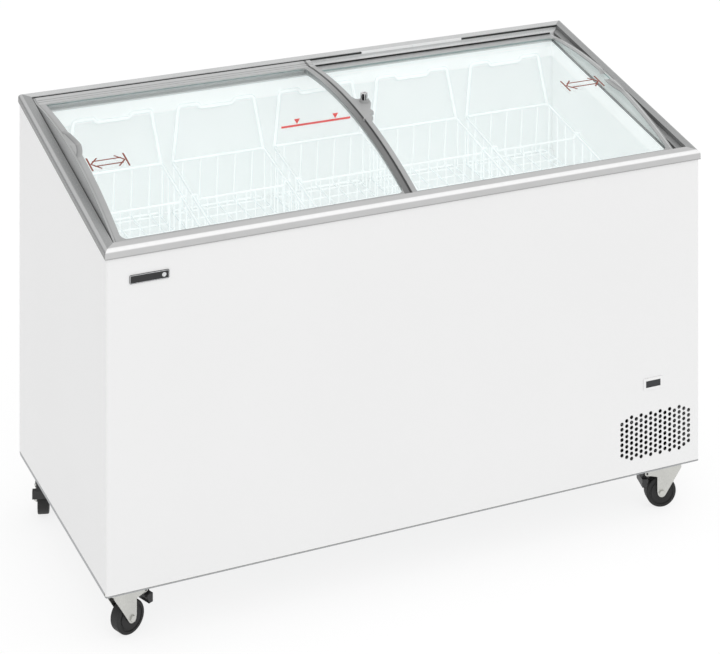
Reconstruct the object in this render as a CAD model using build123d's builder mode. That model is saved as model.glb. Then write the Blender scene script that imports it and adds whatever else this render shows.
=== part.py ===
from build123d import *
import os
from math import cos, radians, sin, sqrt, tan

# Island chest freezer with two arched sliding lids, wire baskets and braked casters (mm).
# X runs along the cabinet, left to right. Y runs front (-Y, the customer's side) to rear (+Y).
# Z is up, with the floor at 0. The lid plane falls towards the front.

os.makedirs("parts", exist_ok=True)

# ---------------------------------------------------------------- driving dimensions
cabinet_length = 1300.0
cabinet_depth = 620.0
ground = 100.0                      # floor to the underside of the cabinet
lid_slope = 10.0                    # fall of the lid plane, degrees
rail_z = ground + 711.0             # rail top plane at the cabinet centre line
rail_half_length = 652.5            # outer edges of the rail frame
rail_half_depth = 313.0
sheet = 1.0                         # sheet metal thickness

half_length = cabinet_length / 2
half_depth = cabinet_depth / 2
slope_rise = tan(radians(lid_slope))
slope_cos = cos(radians(lid_slope))
slope_sin = sin(radians(lid_slope))

machine_top = ground + 207.0        # top of the machine compartment
hump_top = ground + 247.0           # top of the step inside the liner
machine_x = 441.0                   # left face of the machine compartment wall
beyond_x, beyond_y = 700, 400       # cutting blocks reach this far, clear of the cabinet

drain_xy = (-550.0, -200.0)
display_x, display_z = 537.7, ground + 184.5
display_cutout = (40, 18)           # opening for the display in the front sheet

# Swivel axis x, y and yaw in degrees
casters = {
    "front_left": (-617.0, -270.0, 20.0),
    "front_right": (607.0, -270.0, 166.0),
    "rear_left": (-608.0, 268.0, 252.0),
    "rear_right": (608.0, 268.0, 195.0),
}
bolt_pitch = 40
bolt_radius = 4
bolt_hole_radius = 4.05
bolt_offsets = (-bolt_pitch / 2, bolt_pitch / 2)
bolt_xy = [(x + dx, y + dy) for x, y, _ in casters.values()
           for dx in bolt_offsets for dy in bolt_offsets]


# ---------------------------------------------------------------- heights and planes
def lid_z(y, height=0.0):
    """Height of the sloping lid plane at y, plus height."""
    return rail_z + slope_rise * y + height


def basket_floor_z(y):
    return ground + 484 + (y - 264) * 0.04943


def basket_rim_z(y):
    return ground + 594 + (y - 249) * 0.2008


def at_x(x):
    """Plane facing +X, with sketch axes (y, z)."""
    return Plane.YZ.offset(x)


def at_y(y):
    """Plane facing -Y, with sketch axes (x, z); it extrudes towards the front."""
    return Plane.XZ.offset(-y)


def at_z(z):
    """Plane facing +Z, with sketch axes (x, y)."""
    return Plane.XY.offset(z)


# ---------------------------------------------------------------- shared solids
def prism_x(points, x0, x1):
    """Solid with a (y, z) side profile, running along X."""
    with BuildPart() as prism:
        with BuildSketch(at_x(x0)):
            with BuildLine():
                Polyline(*points, close=True)
            make_face()
        extrude(amount=x1 - x0)
    return prism.part


def block(x0, x1, y0, y1, z0, z1):
    with BuildPart() as box:
        with BuildSketch(at_z(z0)):
            with Locations(((x0 + x1) / 2, (y0 + y1) / 2)):
                Rectangle(x1 - x0, y1 - y0)
        extrude(amount=z1 - z0)
    return box.part


def sloped(x0, x1, y0, y1, low, high):
    """Slab between two heights that follow the lid plane."""
    return prism_x([(y0, lid_z(y0, low)), (y1, lid_z(y1, low)),
                    (y1, lid_z(y1, high)), (y0, lid_z(y0, high))], x0, x1)


def above_lid(height):
    """Everything above the lid plane shifted by height."""
    far_x, far_y, far_z = 800, 400, 1400
    return prism_x([(-far_y, lid_z(-far_y, height)), (far_y, lid_z(far_y, height)),
                    (far_y, far_z), (-far_y, far_z)], -far_x, far_x)


def arch_through(front, crown, rear):
    """Height function of the circular arch through three (y, height over lid plane) points."""
    (y1, z1), (y2, z2), (y3, z3) = [(y, lid_z(y, height)) for y, height in (front, crown, rear)]
    square1, square2, square3 = y1**2 + z1**2, y2**2 + z2**2, y3**2 + z3**2
    divisor = 2 * (y1 * (z2 - z3) + y2 * (z3 - z1) + y3 * (z1 - z2))
    centre_y = (square1 * (z2 - z3) + square2 * (z3 - z1) + square3 * (z1 - z2)) / divisor
    centre_z = (square1 * (y3 - y2) + square2 * (y1 - y3) + square3 * (y2 - y1)) / divisor
    radius = sqrt((y1 - centre_y) ** 2 + (z1 - centre_z) ** 2)
    return lambda y: centre_z + sqrt(radius * radius - (y - centre_y) ** 2)


def arch_points(arch_z, y0, y1, shift):
    """Start, middle and end of an arch moved vertically by shift."""
    return [(y, arch_z(y) + shift) for y in (y0, (y0 + y1) / 2, y1)]


def arched_sheet(arch_z, y0, y1, shift0, shift1, x0, x1):
    """Curved sheet between two vertical shifts of an arch, running along X."""
    first = arch_points(arch_z, y0, y1, shift0)
    second = arch_points(arch_z, y0, y1, shift1)
    with BuildPart() as curved:
        with BuildSketch(at_x(x0)):
            with BuildLine():
                ThreePointArc(*first)
                Line(first[-1], second[-1])
                ThreePointArc(*reversed(second))
                Line(second[0], first[0])
            make_face()
        extrude(amount=x1 - x0)
    return curved.part


def arch_wall(arch_z, y0, y1, shift, base, x0, x1):
    """End wall between the lid plane shifted by base and an arch shifted by shift."""
    top = arch_points(arch_z, y0, y1, shift)
    with BuildPart() as wall:
        with BuildSketch(at_x(x0)):
            with BuildLine():
                ThreePointArc(*top)
                Polyline(top[-1], (y1, lid_z(y1, base)), (y0, lid_z(y0, base)), top[0])
            make_face()
        extrude(amount=x1 - x0)
    return wall.part


def combined(solids, cuts=()):
    """Solids joined in order, then cut in order."""
    with BuildPart() as whole:
        for solid in solids:
            add(solid)
        for cut in cuts:
            add(cut, mode=Mode.SUBTRACT)
    return whole.part


def save(part, name):
    part.label = name
    export_step(part, f"parts/{name}.step")


def save_copy(form, name, place):
    """Export a copy of a part moved to a Location."""
    with BuildPart() as moved:
        with Locations(place):
            add(form)
    save(moved.part, name)


# ---------------------------------------------------------------- aluminium rail frame
rail_lip = 18.5                     # height of the outer lip
rail_nose = 9                       # radius of the outer top edge
nose_mid = rail_nose * (1 - sqrt(0.5))
# Stepped section: inward from the outer edge, height over the lid plane
rail_profile = [
    (rail_nose, 0), (22.5, 0), (22.5, -10), (35.5, -10), (35.5, -23), (46.5, -23),
    (46.5, -26), (33, -26), (33, -13), (20, -13), (20, -3), (10, -3), (2.3, -10.5),
    (2.3, -rail_lip), (0, -rail_lip), (0, -rail_nose),
]
long_start, cross_start = 660, 330  # uncut bars start this far from the centre


def front_point(inward, height):
    y = -rail_half_depth + inward
    return (y, lid_z(y, height))


def rear_point(inward, height):
    y = rail_half_depth - inward
    return (y, lid_z(y, height))


def left_point(inward, height):
    return (-rail_half_length + inward, lid_z(-cross_start, height))


def right_point(inward, height):
    return (rail_half_length - inward, lid_z(-cross_start, height))


def rail(section_point, plane, run, direction, mitre):
    """Bar swept along direction, trimmed to the mitred plan outline."""
    with BuildPart() as raw_bar:
        with BuildSketch(plane):
            with BuildLine():
                Polyline(*[section_point(*point) for point in rail_profile])
                ThreePointArc(section_point(0, -rail_nose), section_point(nose_mid, -nose_mid),
                              section_point(rail_nose, 0))
            make_face()
        extrude(amount=run, dir=direction)
    with BuildPart() as bar:
        add(raw_bar.part)
        with BuildSketch(at_z(ground)):
            Polygon(*mitre, align=None)
        extrude(amount=1000, mode=Mode.INTERSECT)
    return bar.part


long_run = (at_x(-long_start), 2 * long_start, (1, 0, 0))
cross_run = (at_y(-cross_start), 2 * cross_start / slope_cos, (0, slope_cos, slope_sin))
# Name, section placing, run, plan outline (x, y)
rails = [
    ("rail_front", front_point, long_run,
     [(-659.4, -320), (659.4, -320), (599.4, -260), (-599.4, -260)]),
    ("rail_rear", rear_point, long_run,
     [(-659.4, 320), (-599.4, 260), (599.4, 260), (659.4, 320)]),
    ("rail_left", left_point, cross_run,
     [(-660, -320.4), (-600, -260.4), (-600, 260.4), (-660, 320.4)]),
    ("rail_right", right_point, cross_run,
     [(660, -320.4), (660, 320.4), (600, 260.4), (600, -260.4)]),
]
for name, section_point, run, mitre in rails:
    save(rail(section_point, *run, mitre), name)

# ---------------------------------------------------------------- cabinet sheet metal
shell_rear = 309                    # the shell is open behind this y
base_thickness = 2.4
above_sheet_metal = above_lid(-13.0)

vent_counts = [7, 8, 9, 8, 9, 8, 9, 8, 9, 8, 9, 8, 9, 8, 7]     # holes per column, left to right
vent_x, vent_z = 463.5, ground + 79.5                           # first column, mid height
vent_pitch_x, vent_pitch_z = 11.5, 10.75
vent_points = [(vent_x + vent_pitch_x * column, vent_z + (k - (count - 1) / 2) * vent_pitch_z)
               for column, count in enumerate(vent_counts) for k in range(count)]

# Notches in the side feet that leave room for the base pan lips
notch_span = (-305, beyond_y, ground + 2, ground + 7)
notch_x = half_length - sheet - 0.1
foot_notches = [block(-beyond_x, -notch_x, *notch_span), block(notch_x, beyond_x, *notch_span)]

with BuildPart() as outer_shell:
    with BuildSketch(at_z(ground + 3)):
        with Locations((0, 10)):
            RectangleRounded(cabinet_length, cabinet_depth + 20, 4)
        with Locations((0, 8)):
            RectangleRounded(cabinet_length - 2 * sheet, cabinet_depth + 14, 3,
                             mode=Mode.SUBTRACT)
        with Locations((0, shell_rear + 50)):
            Rectangle(1400, 100, mode=Mode.SUBTRACT)
    extrude(amount=800)
    add(above_sheet_metal, mode=Mode.SUBTRACT)
    for notch in foot_notches:
        add(notch, mode=Mode.SUBTRACT)
    with BuildSketch(at_y(-half_depth - 2)):
        with Locations(*vent_points):
            Circle(4.0)
        with Locations((display_x, display_z)):
            Rectangle(*display_cutout)
    extrude(amount=-4, mode=Mode.SUBTRACT)
save(outer_shell.part, "outer_shell")

panel_thickness = 0.95
panel_height = 794.0
with BuildPart() as rear_panel:
    with BuildSketch(at_y(half_depth - panel_thickness)):
        with Locations((0, ground + 400)):
            Rectangle(cabinet_length, panel_height)
        with Locations((545, ground + 110)):
            with GridLocations(80, 11, 2, 11):
                SlotOverall(66, 5, mode=Mode.SUBTRACT)
        with Locations((557, ground + 30)):     # power cord hole
            Circle(7, mode=Mode.SUBTRACT)
    extrude(amount=-panel_thickness)
    add(above_sheet_metal, mode=Mode.SUBTRACT)
save(rear_panel.part, "rear_panel")

lip_span = (-300, shell_rear, ground + base_thickness, ground + 6.9)
pan_lips = [block(-half_length, -half_length + sheet, *lip_span),
            block(half_length - sheet, half_length, *lip_span)]
with BuildPart() as base_pan:
    with BuildSketch(at_z(ground)):
        with Locations((0, -0.5)):
            RectangleRounded(cabinet_length, cabinet_depth - 1, 4)
        with Locations(*bolt_xy):
            Circle(bolt_hole_radius, mode=Mode.SUBTRACT)
        with Locations(drain_xy):
            Circle(9.2, mode=Mode.SUBTRACT)
        with Locations((545, 20)):
            with GridLocations(22, 8, 5, 4):
                SlotOverall(18, 4, mode=Mode.SUBTRACT)
    extrude(amount=base_thickness)
    for lip in pan_lips:
        add(lip)
save(base_pan.part, "base_pan")

# ---------------------------------------------------------------- evaporator coil round the liner
coil_length, coil_depth = 1237, 534.5
tube = 8                            # square tube
coil_pitch = 40
coil_z = ground + 290               # underside of the lowest turn
coil_end_x = (coil_length - tube) / 2


def coil(grow):
    """Four turns, three risers on the left and a feed on the right, swollen by grow."""
    wide = tube + 2 * grow
    with BuildPart() as turns:
        for k in range(4):
            with BuildSketch(at_z(coil_z + coil_pitch * k - grow)):
                with Locations((0, 3.25)):
                    RectangleRounded(coil_length + 2 * grow, coil_depth + 2 * grow, 11)
                    RectangleRounded(coil_length - 2 * tube - 2 * grow,
                                     coil_depth - 2 * tube - 2 * grow, 2.5, mode=Mode.SUBTRACT)
            extrude(amount=wide)
        for k in range(3):
            with BuildSketch(at_z(coil_z + tube / 2 + coil_pitch * k)):
                with Locations((-coil_end_x, -80.0 + 80 * k)):
                    Rectangle(wide, wide)
            extrude(amount=coil_pitch)
        with BuildSketch(at_z(ground + 180 - grow)):
            with Locations((coil_end_x, 100)):
                Rectangle(wide, wide)
        extrude(amount=114)
    return turns.part


save(coil(0.0), "evaporator_coil")

# ---------------------------------------------------------------- inner liner
liner_half_length = 607.5
liner_half_depth = 268              # above the ledges
liner_front, liner_rear = -253, 259.5   # walls below the ledges
liner_floor = ground + 45
liner_top = -60.2                   # over the lid plane
liner_wall = 2.0


def ledge_z(y):
    """Ledge inside the liner that carries the baskets."""
    return basket_floor_z(y) - 3.5


def liner_form(grow):
    """Liner cavity grown outwards by grow, stepped over the machine compartment."""
    upper_y = liner_half_depth + grow
    cavity = prism_x([
        (-upper_y, lid_z(-upper_y, liner_top)),
        (-upper_y, ledge_z(-liner_half_depth) - grow),
        (liner_front - grow, ledge_z(liner_front) - grow),
        (liner_front - grow, liner_floor - grow),
        (liner_rear + grow, liner_floor - grow),
        (liner_rear + grow, ledge_z(liner_rear) - grow),
        (upper_y, ledge_z(liner_half_depth) - grow),
        (upper_y, lid_z(upper_y, liner_top)),
    ], -liner_half_length - grow, liner_half_length + grow)
    hump = block(402 + grow, beyond_x, -beyond_y, beyond_y, ground, hump_top - grow)
    return combined([cavity], [hump])


liner_outside = liner_form(liner_wall)
liner_inside = liner_form(0)
above_liner = above_lid(liner_top)
with BuildPart() as inner_liner:
    add(liner_outside)
    add(liner_inside, mode=Mode.SUBTRACT)
    add(above_liner, mode=Mode.SUBTRACT)
    with BuildSketch(at_z(ground + 40)):
        with Locations(drain_xy):
            Circle(7.2)
    extrude(amount=10, mode=Mode.SUBTRACT)
save(inner_liner.part, "inner_liner")

# ---------------------------------------------------------------- breaker collar
collar_x, collar_y = 608, 268.5     # outer half sizes
collar_wall = 2
collar_inner_x, collar_inner_y = collar_x - collar_wall, collar_y - collar_wall
save(combined(
    [sloped(-collar_x, collar_x, -collar_y, collar_y, -60, -26.1)],
    [sloped(-collar_inner_x, collar_inner_x, -collar_inner_y, collar_inner_y, -80, 0)],
), "breaker_collar")

# ---------------------------------------------------------------- foam core
fit = 0.2                           # clearance round the liner and the collar
room_x, room_y = collar_x + fit, collar_y + fit
foam_cuts = [
    above_lid(-26.6),
    liner_form(liner_wall + fit),
    sloped(-room_x, room_x, -room_y, room_y, -60.3, 20),
    block(machine_x - fit, beyond_x, -beyond_y, beyond_y, ground, machine_top + 0.1),
    coil(0.3),
]
left_bolts = [point for point in bolt_xy if point[0] < 0]
with BuildPart() as foam_core:
    with BuildSketch(at_z(ground + 2.5)):
        RectangleRounded(cabinet_length - 2.4, cabinet_depth - 2.4, 5)
    extrude(amount=800)
    for cut in foam_cuts:
        add(cut, mode=Mode.SUBTRACT)
    with BuildSketch(at_z(ground)):
        with Locations(drain_xy):
            Circle(9.3)
    extrude(amount=60, mode=Mode.SUBTRACT)
    with BuildSketch(at_z(ground)):
        with Locations(*left_bolts):
            Circle(4.8)
    extrude(amount=11, mode=Mode.SUBTRACT)
save(foam_core.part, "foam_core")

# ---------------------------------------------------------------- drain
drain_bore = 7                      # radius
with BuildPart() as drain_tube:
    with BuildSketch(at_z(ground - 5)):
        with Locations(drain_xy):
            Circle(9)
            Circle(drain_bore, mode=Mode.SUBTRACT)
    extrude(amount=47.9)
save(drain_tube.part, "drain_tube")

with BuildPart() as drain_plug:
    with BuildSketch(at_z(ground + 22)):        # stem
        with Locations(drain_xy):
            Circle(drain_bore - 0.05)
    extrude(amount=24)
    with BuildSketch(at_z(liner_floor + 0.1)):  # cap
        with Locations(drain_xy):
            Circle(12)
    extrude(amount=3.4)
    with BuildSketch(at_z(ground + 48)):        # upright tab
        with Locations(drain_xy):
            SlotOverall(16, 4)
    extrude(amount=8)
save(drain_plug.part, "drain_plug")

# ---------------------------------------------------------------- machine compartment
inside_y = (-308, 308.8)
save(combined(
    [block(machine_x, 648, *inside_y, machine_top - sheet, machine_top),
     block(machine_x, machine_x + sheet, *inside_y, ground + 2.5, machine_top)],
    [block(609, 620, 94, 106, machine_top - 3, machine_top + 3)],   # coil feed hole
), "machine_partition")

pump_x, pump_y = 545, 120
with BuildPart() as compressor:
    with BuildSketch(at_z(ground + 8)):         # mounting plate
        with Locations((pump_x, pump_y)):
            RectangleRounded(160, 120, 15)
    extrude(amount=3)
    with BuildSketch(at_z(ground + 2.5)):       # four feet
        with Locations((pump_x, pump_y)):
            with GridLocations(130, 90, 2, 2):
                Circle(10)
    extrude(amount=6)
    with Locations((pump_x, pump_y, ground + 75)):
        Cylinder(56, 130)
    # Dome the can by rounding its top edge
    large_circles = edges().filter_by(GeomType.CIRCLE).filter_by(lambda e: e.radius > 50)
    fillet(large_circles.sort_by(Axis.Z)[-1], radius=28)
    with Locations((pump_x, pump_y, ground + 84)):      # band round the can
        Cylinder(58, 5)
    with Locations((pump_x, 58, ground + 80)):          # box on the front
        Box(44, 30, 48)
    with Locations((pump_x - 20, 110, ground + 150)):   # two upright pipes
        Cylinder(4, 40)
    with Locations((pump_x + 20, 110, ground + 150)):
        Cylinder(3, 40)
save(compressor.part, "compressor")

condenser_x, condenser_y = 547, -190
with BuildPart() as condenser:
    with BuildSketch(at_z(ground + 12)):        # fins
        with Locations((condenser_x, condenser_y)):
            with GridLocations(7.5, 1, 25, 1):
                Rectangle(1.0, 50)
    extrude(amount=138)
    with BuildSketch(at_x(452)):                # tubes
        with Locations((condenser_y, ground + 81)):
            with GridLocations(25, 26, 2, 5):
                Circle(4.5)
    extrude(amount=190)
    with BuildSketch(at_z(ground + 2.5)):       # end plates
        with Locations((condenser_x, condenser_y)):
            with GridLocations(184, 1, 2, 1):
                Rectangle(2, 54)
    extrude(amount=150)
save(condenser.part, "condenser")

fan_x, fan_z = 545.0, ground + 80.0
fan_opening = 56                    # radius
fan_rear_y = -118                   # rear face of the ring and arms
with BuildPart() as fan_shroud:
    with BuildSketch(at_y(-140)):               # plate
        with Locations((condenser_x, ground + 78)):
            RectangleRounded(186, 151, 4)
        with Locations((fan_x, fan_z)):
            Circle(fan_opening, mode=Mode.SUBTRACT)
    extrude(amount=2)
    with BuildSketch(at_y(fan_rear_y)):         # ring
        with Locations((fan_x, fan_z)):
            Circle(fan_opening + 3)
            Circle(fan_opening, mode=Mode.SUBTRACT)
    extrude(amount=23)
    with BuildSketch(at_y(fan_rear_y)):         # arms
        with Locations((fan_x, fan_z)):
            with PolarLocations(37, 3):
                Rectangle(42, 8)
    extrude(amount=4)
    with BuildSketch(at_y(-96)):                # motor
        with Locations((fan_x, fan_z)):
            Circle(18)
    extrude(amount=26)
    with BuildSketch(at_y(fan_rear_y)):         # shaft
        with Locations((fan_x, fan_z)):
            Circle(3)
    extrude(amount=20)
save(fan_shroud.part, "fan_shroud")

blade_count = 5
with BuildPart() as rotor_form:     # built with its axis on Z
    Cylinder(15, 12)
    for k in range(blade_count):
        with Locations(Location((0, 0, 0), (0, 0, 360 / blade_count * k))):
            with Locations(Location((33, 0, 0), (30, 0, 0))):
                Box(42, 18, 1.8)
    Cylinder(3.05, 40, mode=Mode.SUBTRACT)
save_copy(rotor_form.part, "fan_rotor", Location((fan_x, -131, fan_z), (90, 0, 0)))

box_x, box_y, box_wall = 86, 37, 3  # open-topped box behind the display
with BuildPart() as control_box:
    with BuildSketch(at_z(ground + 152)):
        with Locations((display_x, -286.5)):
            RectangleRounded(box_x, box_y, 3)
    extrude(amount=50)
    with BuildSketch(at_z(ground + 152 + box_wall)):
        with Locations((display_x, -286.5)):
            RectangleRounded(box_x - 2 * box_wall, box_y - 2 * box_wall, 2)
    extrude(amount=60, mode=Mode.SUBTRACT)
save(control_box.part, "control_box")

cord_radius = 3.5
with BuildPart() as power_cord:
    for k in range(3):              # coiled cord
        with Locations((575, 240, ground + 22 + 6 * k)):
            Torus(36, cord_radius)
    with Locations((541, 240, ground + 27)):
        Box(34, 24, 22)
    with Locations(Location((557, 271, ground + 30), (90, 0, 0))):  # lead through the rear panel
        Cylinder(cord_radius, 74)
save(power_cord.part, "power_cord")

# ---------------------------------------------------------------- front fittings
fitting_y = -half_depth - 0.05      # rear face of what sits on the front sheet
with BuildPart() as badge_plate:
    with BuildSketch(at_y(fitting_y)):
        with Locations((-564.5, ground + 592)):
            RectangleRounded(79, 17, 3)
    extrude(amount=1.6)
    fillet(faces().sort_by(Axis.Y)[0].edges(), radius=0.6)
save(badge_plate.part, "badge_plate")

window_opening = (35, 14)
with BuildPart() as display_bezel:
    with BuildSketch(at_y(fitting_y)):
        with Locations((display_x, display_z)):
            RectangleRounded(46.5, 25, 3)
    extrude(amount=1.9)
    fillet(faces().sort_by(Axis.Y)[0].edges(), radius=0.8)
    with BuildSketch(at_y(-half_depth + 4)):    # neck through the sheet
        with Locations((display_x, display_z)):
            Rectangle(display_cutout[0] - 0.4, display_cutout[1] - 0.4)
    extrude(amount=4.1)
    with BuildSketch(at_y(-half_depth + 5)):
        with Locations((display_x, display_z)):
            Rectangle(*window_opening)
    extrude(amount=10, mode=Mode.SUBTRACT)
save(display_bezel.part, "display_bezel")

with BuildPart() as display_window:
    with BuildSketch(at_y(-half_depth + 4)):
        with Locations((display_x, display_z)):
            Rectangle(window_opening[0] - 0.2, window_opening[1] - 0.2)
    extrude(amount=5.2)
save(display_window.part, "display_window")

# ---------------------------------------------------------------- track seals and rear insert
track_rear = 290.4                  # rear face of the upper track strips
seal_heights = (-4.2, -1.4)
save(combined(
    [sloped(-628.0, 629.8, 287.3, track_rear, *seal_heights),       # rear
     sloped(-629.9, -628.1, -290.3, track_rear, *seal_heights),     # left
     sloped(-629.9, -627.9, 288.0, track_rear, *seal_heights),      # joins rear and left
     sloped(-600, 606, 275.4, 277.4, -13.4, -10.3)],                # lower track
    [sloped(131.7, 382.3, 287, 291, -5.2, 0)],                      # room for the insert
), "track_seals")

save(combined([sloped(132, 382, 287.4, track_rear, -5.1, -0.4)],
              [sloped(255.5, 258.5, 287.0, 288.6, -6, 0)]), "rear_insert")

# ---------------------------------------------------------------- sliding lids
frame_depth = 7.7                   # frame thickness, measured vertically
frame_side = 4                      # frame width beside the glass
tab_radius = 130                    # round tab at the outer end of the opening
tab_reach = 10                      # how far it reaches into the opening
hollow_radius, hollow_depth = 135, 1.7      # spherical hollow in the tab


def lid_frame(arch_z, arch_y, rim_y, edge, x0, x1, opening_x, opening_y, tab_y,
              cuts=(), walls=()):
    """Arched frame with flat front and rear rims whose top is at edge over the lid plane.

    opening_x gives the outer end first, then the end near the centre of the cabinet.
    """
    (front, rear), (rim_front, rim_rear) = arch_y, rim_y
    outer, inner = opening_x
    side = 1 if outer > inner else -1
    overlap = 0.05
    frame = arched_sheet(arch_z, front, rear, 0, -frame_depth, x0, x1)
    front_rim = sloped(x0, x1, rim_front, front + overlap, edge - frame_depth, edge)
    rear_rim = sloped(x0, x1, rear - overlap, rim_rear, edge - frame_depth, edge)
    glass_pocket = arched_sheet(arch_z, front + 1, rear - 1, -3, -60,
                                x0 + frame_side, x1 - frame_side)
    with BuildPart() as lid:
        add(frame)
        add(front_rim)
        add(rear_rim)
        add(glass_pocket, mode=Mode.SUBTRACT)
        with BuildSketch(at_z(ground + 500)):
            with Locations(((outer + inner) / 2, sum(opening_y) / 2)):
                RectangleRounded(abs(outer - inner), opening_y[1] - opening_y[0], 14)
            with Locations((outer + side * (tab_radius - tab_reach), tab_y)):
                Circle(tab_radius, mode=Mode.SUBTRACT)
        extrude(amount=600, mode=Mode.SUBTRACT)
        with Locations((outer - side * 0.5, tab_y,
                        arch_z(tab_y) + hollow_radius - hollow_depth)):
            Sphere(hollow_radius, mode=Mode.SUBTRACT)
        for cut in cuts:
            add(cut, mode=Mode.SUBTRACT)
        for wall in walls:
            add(wall)
    return lid.part


def lid_glass(arch_z, arch_y, x0, x1):
    """Curved pane filling the frame's pocket."""
    gap = frame_side + 0.2
    return arched_sheet(arch_z, arch_y[0] + 1.2, arch_y[1] - 1.2, -3.05, -7.0, x0 + gap, x1 - gap)


# Upper (left) lid
upper_front, upper_rear = upper_y = (-286, 262)
upper_rim_front, upper_rim_rear = upper_rim = (-290, 287)
upper_edge = -2                     # rim top over the lid plane
upper_z = arch_through((upper_front, upper_edge), (-8, 30), (upper_rear, upper_edge))
upper_x0, upper_x1 = -623.0, 6.0
past_x = (upper_x0 - 1, upper_x1 + 1)
upper_cuts = [
    sloped(*past_x, 273.0, 275.4, -3.8, 5),     # two grooves along the rear rim
    sloped(*past_x, 265.0, 267.0, -3.4, 5),
    arched_sheet(upper_z, upper_front + 1, upper_rear - 1, 20, -2.2,
                 -10.3, -4.8),                  # channel along the centre stile
]
save(lid_frame(upper_z, upper_y, upper_rim, upper_edge, upper_x0, upper_x1,
               opening_x=(-611, -21.5), opening_y=(-283.5, 254.5), tab_y=28,
               cuts=upper_cuts), "upper_lid_frame")
save(lid_glass(upper_z, upper_y, upper_x0, upper_x1), "upper_lid_glass")

# End cap closing the left end of the upper arch
cap_x = (-627.9, -623.4)
cap_low, cap_high = -9.8, -2.3
save(combined([
    arch_wall(upper_z, upper_front, upper_rear, -0.3, cap_low, *cap_x),
    sloped(*cap_x, upper_rim_front, upper_front + 0.1, cap_low, cap_high),
    sloped(*cap_x, upper_rear - 0.1, upper_rim_rear, cap_low, cap_high),
]), "arch_end_cap")

# Lower (right) lid
lower_front, lower_rear = lower_y = (-268, 268)
lower_edge = -15
lower_z = arch_through((lower_front, lower_edge), (0, 17), (lower_rear, lower_edge))
lower_x0, lower_x1 = -12.0, 613.5
right_wall = arch_wall(lower_z, lower_front + 0.5, lower_rear - 0.5, -2,
                       lower_edge - frame_depth, lower_x1 - frame_side, lower_x1)
save(lid_frame(lower_z, lower_y, (-277, 277), lower_edge, lower_x0, lower_x1,
               opening_x=(601.5, 0), opening_y=(-264, 264), tab_y=-16,
               walls=[right_wall]), "lower_lid_frame")
save(lid_glass(lower_z, lower_y, lower_x0, lower_x1), "lower_lid_glass")

# ---------------------------------------------------------------- push lock on the centre stile
lock_xy = (24.0, 24.0)
lock_z = lid_z(lock_xy[1])          # lid plane under the lock
barrel_radius = 8
plug_radius = 4.5
# Plan outline of the housing, x and y
housing_outline = [
    (6.1, -55), (9, -51), (15.5, -44), (15, -40), (12, -36), (17, -30), (25, -24), (25, -18),
    (23, -10), (29, 2), (35, 13), (37, 23), (33, 33), (24, 37.5), (15, 37), (10, 41), (6.1, 51),
]
housing_plate = arched_sheet(upper_z, -58, 54, -0.4, -7.0, 0, 50)
with BuildPart() as lock_housing:
    add(housing_plate)
    with BuildSketch(at_z(ground + 600)):
        Polygon(*housing_outline, align=None)
    extrude(amount=300, mode=Mode.INTERSECT)
    with BuildSketch(at_z(lock_z + 25)):        # collar round the barrel
        with Locations(lock_xy):
            Circle(10.5)
    extrude(amount=8)
    with BuildSketch(at_z(lock_z)):
        with Locations(lock_xy):
            Circle(barrel_radius + 0.05)
    extrude(amount=60, mode=Mode.SUBTRACT)
save(lock_housing.part, "lock_housing")

with BuildPart() as lock_barrel:
    with BuildSketch(at_z(lock_z + 26)):
        with Locations(lock_xy):
            Circle(barrel_radius)
    extrude(amount=21)
    fillet(edges().sort_by(Axis.Z)[-1], radius=1.0)
    with BuildSketch(at_z(lock_z + 33)):
        with Locations(lock_xy):
            Circle(plug_radius + 0.05)
    extrude(amount=30, mode=Mode.SUBTRACT)
save(lock_barrel.part, "lock_barrel")

with BuildPart() as lock_plug:
    with BuildSketch(at_z(lock_z + 33.1)):
        with Locations(lock_xy):
            Circle(plug_radius)
    extrude(amount=13.4)
    with BuildSketch(at_z(lock_z + 40)):        # key slot
        with Locations(lock_xy):
            Rectangle(1.2, 6.0)
    extrude(amount=20, mode=Mode.SUBTRACT)
save(lock_plug.part, "lock_plug")

# ---------------------------------------------------------------- wire baskets
basket_x = [-459.5 + 235 * k for k in range(5)]
wire = 3
cross_length = 214                  # wires running along X
wire_grid = (42.2, 1, 6, 1)         # spacing and count of the wires across X
post_y = [-262 + 40 * k for k in range(13)]


def side_bar(y0, y1, height_at, half):
    """(y, z) outline of a bar that follows height_at."""
    return [(y0, height_at(y0) - half), (y1, height_at(y1) - half),
            (y1, height_at(y1) + half), (y0, height_at(y0) + half)]


def side_post(y):
    y0, y1 = y - wire / 2, y + wire / 2
    return [(y0, basket_floor_z(y0)), (y1, basket_floor_z(y1)),
            (y1, basket_rim_z(y1)), (y0, basket_rim_z(y0))]


side_outlines = [
    side_bar(-266, 251, basket_rim_z, 2.5),
    side_bar(-264, 266, basket_floor_z, 2),
    [(262, basket_floor_z(262)), (266, basket_floor_z(266)),
     (251, basket_rim_z(251)), (247, basket_rim_z(247))],       # leaning rear post
    # posts are drawn with the floor and rim heights at their own y
    *[[(y - wire / 2, basket_floor_z(y)), (y + wire / 2, basket_floor_z(y)),
       (y + wire / 2, basket_rim_z(y)), (y - wire / 2, basket_rim_z(y))] for y in post_y],
]
rear_plane = Plane(origin=(0, 264, basket_floor_z(264)), x_dir=(1, 0, 0),
                   z_dir=(0, -0.9908, -0.1351))
loop_plane = Plane(origin=(0, 249, basket_rim_z(249)), x_dir=(1, 0, 0),
                   z_dir=(0, -0.9926, 0.1214))
floor_plane = Plane(origin=(0, 1, ground + 471), x_dir=(1, 0, 0), z_dir=(0, -0.0494, 0.9988))

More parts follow.
